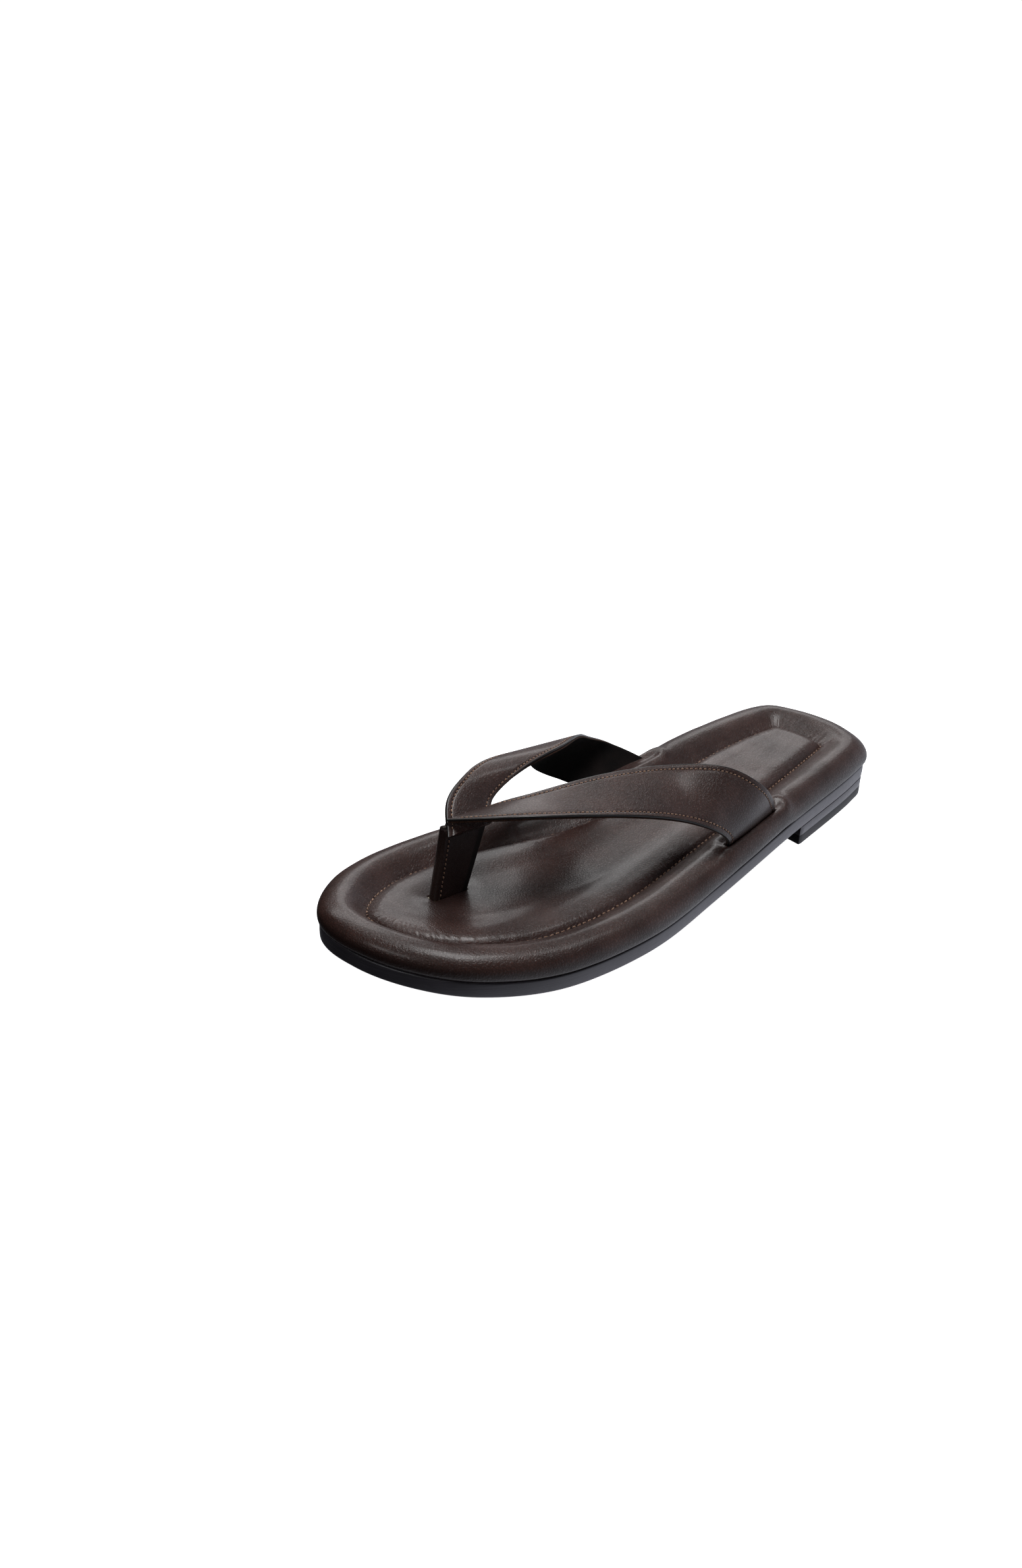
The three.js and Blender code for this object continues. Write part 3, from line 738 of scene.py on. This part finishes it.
def grooveInsetAt(share):
    s = share * len(bed["grooveInset"])
    a = int(s)
    return mix(bed["grooveInset"][a % 8], bed["grooveInset"][(a + 1) % 8], smooth(s - a))


def grooveHeightAt(y):
    return bed["grooveHeight"] + bed["heelRise"] * smooth((y - 50) / 60)


grooveRing = [p + d * grooveInsetAt(k / around) for k, (p, d) in enumerate(zip(bedRing, bedInward))]
grooveRing = relax(grooveRing, 24, 3)
crestRing = relax([p + d * bed["crestInset"] for p, d in zip(bedRing, bedInward)], 12, 3)
bedSpine = spineOf(grooveRing, 15)
grooveTree = KDTree(around)
for k, p in enumerate(grooveRing):
    grooveTree.insert(p, k)
grooveTree.balance()

bedRows = [("lip", 5.0), ("lip", 2.6), ("lip", 0.6)]
bedRows += [("wall", a) for a in range(-14, 90, 5)]
bedRows += [("slope", k / 17) for k in range(18)]
bedRows += [("panel", (k / 26) ** 1.6) for k in range(1, 27)]
slits = [(Vector(strap["front"][-1][:2]), Vector(strap["rear"][-1][:2])) for strap in (lateral, medial)]
postLine = (Vector((post["x"], post["foot"][0])), Vector((post["x"], post["foot"][1])))


def fromLine(p, line):
    a, b = line
    t = min(max((p - a).dot(b - a) / (b - a).length_squared, 0), 1)
    return (p - a.lerp(b, t)).length


def panelHeight(p):  # how far the seam is, and the panel's height above the sole
    seam = grooveTree.find(p)[2]
    rise = 1 - (1 - min(seam / bed["shoulderWidth"], 1)) ** 2.3
    dish = bed["dish"] * smooth((seam - 8) / bed["dishWidth"]) * smooth((80 - p.y) / 50)  # none at the heel
    return seam, grooveHeightAt(p.y) + bed["shoulder"] * rise - dish


unevenHeight, unevenLength = bed["uneven"]
puff, puffAt, puffWide = bed["slitPuff"]
dip, dipWide = bed["slitDip"]
postDip, postDipWide = bed["postDip"]


def bedPoint(i, j):
    kind, value = bedRows[j]
    crestX = bed["crestInset"]
    seam = 99.0
    if kind == "lip":
        p = bedRing[i] + bedInward[i] * value
        height = sole["layerGap"]
    elif kind == "wall":
        angle = math.radians(value)
        inset = crestX - (crestX + bed["bulge"]) * math.cos(angle)
        p = bedRing[i] + bedInward[i] * inset
        p += (crestRing[i] - bedRing[i] - bedInward[i] * crestX) * smooth(value / 90)
        height = bed["bulgeHeight"] + (bed["crestHeight"] - bed["bulgeHeight"]) * math.sin(angle)
    elif kind == "slope":
        p = crestRing[i].lerp(grooveRing[i], value)
        groove = grooveHeightAt(p.y)
        ease = mix((1 + math.cos(math.pi * value)) / 2, math.cos(math.pi / 2 * value), 0.55)
        height = groove + (bed["crestHeight"] - groove) * ease
        seam = (p - grooveRing[i]).length
    else:
        p = grooveRing[i].lerp(bedSpine[i], value)
        seam, height = panelHeight(p)
    arc = i * 700 / around
    flat = p.to_2d()
    puckered = noise.noise(Vector((arc / 1.7, seam / 9, 3.0))) * math.exp(-seam / 3.2) if seam < 12 else 0
    height += bed["pucker"] * puckered - 0.4 * math.exp(-(seam / 0.9) ** 2)
    if kind != "lip":
        height += unevenHeight * noise.noise(Vector((p.x / unevenLength, p.y / unevenLength, 1.0)))
    atSlit = min(fromLine(flat, line) for line in slits)
    if kind != "lip" and atSlit < 16:
        height += puff * math.exp(-((atSlit - puffAt) / puffWide) ** 2)
        height -= dip * math.exp(-(atSlit / dipWide) ** 2)
    atPost = fromLine(flat, postLine)
    if kind == "panel":
        height -= postDip * math.exp(-(atPost / postDipWide) ** 2)
    rim = 1.0 if kind in ("wall", "lip") else 1 - smooth(value) if kind == "slope" else 0.0
    # painted shade: the panel darkens towards the foot of the toe post
    shade = math.exp(-(atPost / bed["postShade"]) ** 2) if kind == "panel" else 0.0
    if kind in ("wall", "lip"):  # painted shade: the cover is darker where it turns under
        shade = smooth(1 - value / bed["turnIn"]) if kind == "wall" else 1.0
    return Vector((p.x, p.y, soleTop(p.y) + height)), (rim, max(math.exp(-seam / 3.4) - 0.03, 0), shade)


def swellField(columns, rowStep):
    # a short cloth run on a coarse copy: the padding pushes the cover out between its held edges
    rows = list(range(0, len(bedRows), rowStep))
    if rows[-1] != len(bedRows) - 1:
        rows.append(len(bedRows) - 1)
    step = around // columns
    hold = []
    for j in rows:
        kind, value = bedRows[j]
        seam = 0 if kind == "slope" and value > 0.93 else 1
        free = (kind == "wall" and value > 5 or kind == "slope" and seam
                or kind == "panel" and 0.06 < value < 0.55)
        hold.append(0.0 if free else 1.0)

    def place(i, j):
        p, _ = bedPoint(i * step % around, rows[j])
        slit = min(fromLine(p.to_2d(), line) for line in slits)
        return p, (max(hold[j], 1 - smooth((slit - 2) / 3)),)

    bm = gridMesh(columns, len(rows) - 1, place, looped=True, floats=["hold"])
    piece = makePiece("coverCloth", bm, coverLeather, None)
    mesh = piece.data
    group = piece.vertex_groups.new(name="hold")
    for v, item in zip(mesh.vertices, mesh.attributes["hold"].data):
        group.add([v.index], item.value, "REPLACE")
    if sum(f.normal.z for f in mesh.polygons) < 0:
        mesh.flip_normals()
    start = [v.co.copy() for v in mesh.vertices]
    modifier = piece.modifiers.new("cover", "CLOTH")
    cloth = modifier.settings
    cloth.quality = 6
    cloth.mass = 0.2
    cloth.tension_stiffness = cloth.compression_stiffness = 12
    cloth.bending_stiffness = 0.4
    cloth.use_pressure = True
    cloth.uniform_pressure_force = 5
    cloth.vertex_group_mass = "hold"
    cloth.effector_weights.gravity = 0
    modifier.collision_settings.use_collision = False
    scene = bpy.context.scene
    for f in range(1, 17):
        scene.frame_set(f)
    graph = bpy.context.evaluated_depsgraph_get()
    moved = piece.evaluated_get(graph).to_mesh()
    tree = KDTree(len(start))
    for k, p in enumerate(start):
        tree.insert(p, k)
    tree.balance()
    field = []
    for j in range(len(rows)):
        line = []
        for i in range(columns):
            k = tree.find(bedPoint(i * step % around, rows[j])[0] * mm)[1]
            push = (moved.vertices[k].co - start[k]) / mm
            if push.length > bed["swell"]:
                push = push.normalized() * bed["swell"]
            line.append(push)
        field.append(line)
    scene.frame_set(1)
    piece.modifiers.clear()
    bpy.data.objects.remove(piece)
    reach = range(-bed["evening"], bed["evening"] + 1)  # averaged along the rim, so that no wrinkles stay
    field = [[sum((line[(i + k) % columns] for k in reach), Vector()) / len(reach) for i in range(columns)]
             for line in field]
    return rows, step, columns, field


def swellAt(swell, i, j):
    rows, step, columns, field = swell
    n = max(k for k in range(len(rows)) if rows[k] <= j)
    m = min(n + 1, len(rows) - 1)
    up = (j - rows[n]) / (rows[m] - rows[n]) if m > n else 0
    a, w = i // step, (i % step) / step
    low = field[n][a % columns].lerp(field[n][(a + 1) % columns], w)
    high = field[m][a % columns].lerp(field[m][(a + 1) % columns], w)
    return low.lerp(high, up)


swell = swellField(around // 2, 2)
print("cover swelled" if swell else "cover left as it is")


def coverPoint(i, j):
    if j == len(bedRows) - 1:
        i = min(i, around - i)  # both sides end on the same points
    p, values = bedPoint(i, j)
    return (p + swellAt(swell, i, j) if swell else p), values


coverMesh = gridMesh(around, len(bedRows) - 1, coverPoint, looped=True, floats=["rim", "seam", "shade"])
bmesh.ops.remove_doubles(coverMesh, verts=coverMesh.verts, dist=bed["weld"] * mm)
if sum(f.normal.z * f.calc_area() for f in coverMesh.faces) < 0:
    bmesh.ops.reverse_faces(coverMesh, faces=coverMesh.faces)
cover = makePiece("footbedCover", coverMesh, coverLeather, "grain_leather", ["footbed_cover"])
outerSkin = BVHTree.FromObject(cover, bpy.context.evaluated_depsgraph_get())
wall = cover.modifiers.new("leather", "SOLIDIFY")
wall.thickness = bed["leather"] * mm
wall.offset = -1
applyModifiers(cover)

cutters = [strapLayer(name + "Cutter", strap, False, coverLeather, None, None, grow=0.35, start=0.4)
           for name, strap in (("medial", medial), ("lateral", lateral))]
slotMesh = bmesh.new()
bmesh.ops.create_cube(slotMesh, size=1)
slotTall, slotPlay = 16, 0.5
front, rear = postEdges(13)
slotSize = Vector((2 * post["half"] + slotPlay, rear - front + slotPlay, slotTall)) * mm
bmesh.ops.scale(slotMesh, vec=slotSize, verts=slotMesh.verts)
bmesh.ops.translate(slotMesh, vec=(post["x"] * mm, (front + rear) / 2 * mm, 14 * mm), verts=slotMesh.verts)
cutters.append(makePiece("slotCutter", slotMesh, coverLeather, None))
for cutter in cutters:
    cut = cover.modifiers.new("cut", "BOOLEAN")
    cut.operation = "DIFFERENCE"
    cut.solver = "EXACT"
    cut.object = cutter
applyModifiers(cover)
for cutter in cutters:
    bpy.data.objects.remove(cutter)
print("footbed made", len(cover.data.polygons))

padRows = [(s, False) for s in (1, 0.8, 0.6, 0.4, 0.2, 0.1)]
padRows += [(s, True) for s in (0.1, 0.15, 0.2, 0.3, 0.4, 0.5, 0.6, 0.8, 1)]


def padPoint(i, j):
    share, top = padRows[j]
    p = grooveRing[i * 4].lerp(bedSpine[i * 4], share)
    height = panelHeight(p)[1] - bed["leather"] - 0.35 if top else 3.1
    return Vector((p.x, p.y, soleTop(p.y) + height)), ()


padFoam = hiddenLayer("padFoam", (0.5, 0.44, 0.33), (0.68, 0.62, 0.5), 900, 0.4)
padMesh = gridMesh(around // 4, len(padRows) - 1, padPoint, looped=True)
bmesh.ops.recalc_face_normals(padMesh, faces=padMesh.faces)
pad = makePiece("footbedFoam", padMesh, padFoam, "foam", ["footbed_pad"])

# separate stitches along every seam


def stitchRun(bm, holes, points, normals, pitch, length, radius, lift):
    lengths = [0.0]
    for a, b in zip(points, points[1:]):
        lengths.append(lengths[-1] + (b - a).length)
    total = int(lengths[-1] / pitch)
    k = 0
    for s in range(total):
        want = (s + 0.5) * lengths[-1] / total
        while lengths[k + 1] < want:
            k += 1
        share = (want - lengths[k]) / max(lengths[k + 1] - lengths[k], 1e-9)
        p, n = points[k].lerp(points[k + 1], share), normals[k].lerp(normals[k + 1], share).normalized()
        along = (points[k + 1] - points[k]).normalized()
        side = n.cross(along).normalized()
        jitter = noise.noise(Vector((p.x / 2.3, p.y / 2.3, p.z / 2.3)))
        along = (along + side * (0.1 + 0.12 * jitter)).normalized()
        side = n.cross(along).normalized()
        n = along.cross(side)
        turn = Matrix((side, n, along)).transposed().to_4x4()
        size = Matrix.Diagonal((radius * mm, radius * mm, length * (1 + 0.12 * jitter) / 2 * mm, 1))
        place = Matrix.Translation((p + n * (lift + 0.05 * jitter)) * mm)
        bmesh.ops.create_uvsphere(bm, u_segments=6, v_segments=4, radius=1, matrix=place @ turn @ size)
        # a flat dark disk where the needle went through: painted shade in place of the hole
        hole = p + along * (lengths[-1] / total / 2)
        flat = Matrix.Diagonal((0.3 * mm, 0.16 * mm, 0.3 * mm, 1))
        bmesh.ops.create_uvsphere(holes, u_segments=6, v_segments=4, radius=1,
                                  matrix=Matrix.Translation(hole * mm) @ turn @ flat)


def seamPiece(name, runs, kind, node, lift):
    size = stitching[kind]
    bm, holes = bmesh.new(), bmesh.new()
    for points, normals in runs:
        stitchRun(bm, holes, points, normals, size["pitch"], size["length"], stitching["radius"], lift)
    makePiece(name, bm, thread, "thread", [node], 3)
    makePiece(name + "Holes", holes, holeShadeMaterial, "thread", (), 3)


rimPoints, rimNormals = [], []
for k in range(around + 1):
    p = grooveRing[k % around]
    hit, normal, _, _ = outerSkin.ray_cast(Vector((p.x, p.y, 60)) * mm, Vector((0, 0, -1)))
    rimPoints.append(hit / mm)
    rimNormals.append(Vector((0, 0, 1)))
seamPiece("rimStitching", [(rimPoints, rimNormals)], "rim", "rim_thread", 0.2)

for name, strap in (("medial", medial), ("lateral", lateral)):
    for edge in ("front", "rear"):
        line = [strapSurface(strap, mix(0.012, strapCut["slitAt"] - 0.035, k / 120), strapCut["stitchInset"],
                             edge == "rear") for k in range(121)]
        run = ([p for p, _ in line], [n for _, n in line])
        seamPiece(name + "Strap" + edge.title() + "Stitching", [run], "strap",
                  f"{name}_strap_{edge}_thread", 0.06)

for name, side in (("Medial", -1), ("Lateral", 1)):
    points = [postPlace("mm", post["seam"], side * (post["half"] - 0.2), mix(13.5, 41, k / 40))
              for k in range(41)]
    seamPiece("toePost" + name + "Stitching", [(points, [Vector((side, 0, 0))] * 41)], "post",
              f"toe_post_{name.lower()}_thread", 0.08)
print("stitching made")

# the layers inside, carried over from the frame

inside = {
    "bottom_filler": hiddenLayer("pressedCork", (0.2, 0.11, 0.05), (0.42, 0.26, 0.14), 700, 0.6),
    "insole_board": hiddenLayer("fibreBoard", (0.33, 0.25, 0.15), (0.5, 0.4, 0.26), 1200, 0.3),
    "rim_padding": padFoam,
    "toe_post_core": hiddenLayer("webbing", (0.02, 0.016, 0.014), (0.06, 0.05, 0.045), 1100, 0.5,
                                 "DISTANCE_TO_EDGE"),
}
for node, material in inside.items():
    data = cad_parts[node].data
    data.materials.clear()
    data.materials.append(material)

# floor, backdrop, light and camera

studio = {
    "floor": (0.93, 0.93, 0.94),
    "floorPatch": (0.85, 0.85, 0.85),
    "glow": 1.0,
    "dim": (0.012, 0.012, 0.013),  # the room away from its bright side
    "bright": (0.85, 0.87, 0.95),
    "brightSide": (0.35, 0.7, -0.62),
    "lights": [  # place, aim, width, height, watts
        ((0.06, 0.06, 1.3), (0, 0, 0), 0.6, 0.4, 11),
        ((-1.0, 0.2, 1.0), (0, 0, 0), 1.0, 0.4, 6),
        ((-0.88, 0.98, 0.62), (0, 0, 0), 0.9, 0.45, 3.7),
        ((0.24, 0.66, 1.3), (0, 0, 0), 0.25, 0.25, 1.3),
        ((0.2, -1.08, 0.76), (0, 0, 0), 0.6, 0.3, 2.5),
    ],
}

floorMesh = bmesh.new()
bmesh.ops.create_grid(floorMesh, x_segments=1, y_segments=1, size=15)
floorMaterial, floorShader, floorStart, floorPlace = newMaterial("paleFloor", Roughness=0.9,
                                                                 Specular_IOR_Level=0.1)
faint = noiseAt(floorStart, floorPlace, 3.0, 2.0)
floorStart.plug(floorShader.inputs["Base Color"],
                mixColour(floorStart, faint * 0.05, studio["floor"], studio["floorPatch"]))
floorShader.inputs["Emission Color"].default_value = (1, 1, 1, 1)
floorShader.inputs["Emission Strength"].default_value = studio["glow"]
floor = makePiece("floor", floorMesh, floorMaterial, None)
floor.visible_diffuse = floor.visible_glossy = False  # its glow keeps the floor pale and off the leather
domeMesh = bmesh.new()
bmesh.ops.create_uvsphere(domeMesh, u_segments=24, v_segments=12, radius=14)
dome = makePiece("backdrop", domeMesh, floorMaterial, None)
dome.visible_diffuse = dome.visible_glossy = dome.visible_shadow = False

bpy.context.scene.view_settings.view_transform = "Standard"
world = bpy.data.worlds.new("softRoom")
bpy.context.scene.world = world
world.use_nodes = True
sky = Field(world.node_tree)
direction = sky.node("ShaderNodeTexCoord", out=0)
toBright = sky.node("ShaderNodeVectorMath", {"operation": "DOT_PRODUCT"}, out=1, i0=direction,
                    i1=studio["brightSide"])
sky.plug(world.node_tree.nodes["Background"].inputs["Color"],
         mixColour(sky, toBright.band(0.0, 0.95), studio["dim"], studio["bright"]))

for k, (place, aim, wide, tall, watts) in enumerate(studio["lights"]):
    data = bpy.data.lights.new(f"softbox{k}", "AREA")
    data.shape, data.size, data.size_y, data.energy = "RECTANGLE", wide, tall, watts
    lamp = bpy.data.objects.new(f"softbox{k}", data)
    lamp.location = place
    lamp.rotation_euler = (Vector(aim) - Vector(place)).to_track_quat("-Z", "Y").to_euler()
    bpy.context.scene.collection.objects.link(lamp)

view = {
    "place": (0.4035, -0.4387, 0.36056), "look": (-0.64702, 0.59325, -0.47898),
    "roll": 3.04, "lens": 37.288,
}
look = Vector(view["look"]).normalized()
right = look.cross(Vector((0, 0, 1))).normalized()
above = right.cross(look)
roll = math.radians(view["roll"])
up = above * math.cos(roll) - right * math.sin(roll)
right = right * math.cos(roll) + above * math.sin(roll)
cameraData = bpy.data.cameras.new("camera")
cameraData.lens = view["lens"]
cameraData.sensor_width = 36
cameraData.clip_start, cameraData.clip_end = 0.01, 60
camera = bpy.data.objects.new("camera", cameraData)
camera.matrix_world = Matrix.Translation(view["place"]) @ Matrix((right, up, -look)).transposed().to_4x4()
bpy.context.scene.collection.objects.link(camera)
bpy.context.scene.camera = camera
print("floor, light and camera made")
